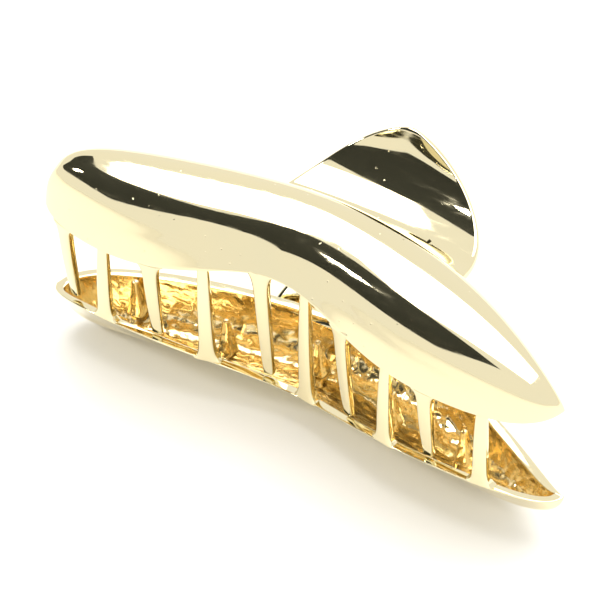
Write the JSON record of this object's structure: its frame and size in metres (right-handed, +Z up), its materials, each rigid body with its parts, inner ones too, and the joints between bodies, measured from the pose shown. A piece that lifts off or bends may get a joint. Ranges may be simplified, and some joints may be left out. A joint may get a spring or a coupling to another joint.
{
  "type": "claw clip",
  "caption": "Metal claw hair clip: two arched leaf-shaped jaws with interlocking teeth, thumb levers and a sprung hinge.",
  "frame": {"origin": "middle of the footprint, on the surface the clip lies on", "axes": "+X along the clip to its pointed end, -Y to the teeth, +Y to the thumb levers, +Z up with the clip on its side"},
  "size_m": [0.1082, 0.0458, 0.0455],
  "materials": {
    "gold_plating": "polished",
    "spring_steel": "drawn wire"
  },
  "bodies": {
    "lower": {"lower_jaw": "gold_plating", "hinge_pin": "gold_plating", "torsion_spring": "spring_steel"},
    "upper": {"upper_jaw": "gold_plating"}
  },
  "joints": [
    {"name": "jaw_hinge", "type": "hinge", "parent": "lower", "child": "upper", "pos_m": [0.0029, 0.00524, 0.02272], "axis": [-1, 0, 0], "range_deg": [0, 70], "stiffness_Nm_per_rad": 0.35, "springref_deg": -57.3, "deforming": ["torsion_spring"]}
  ]
}
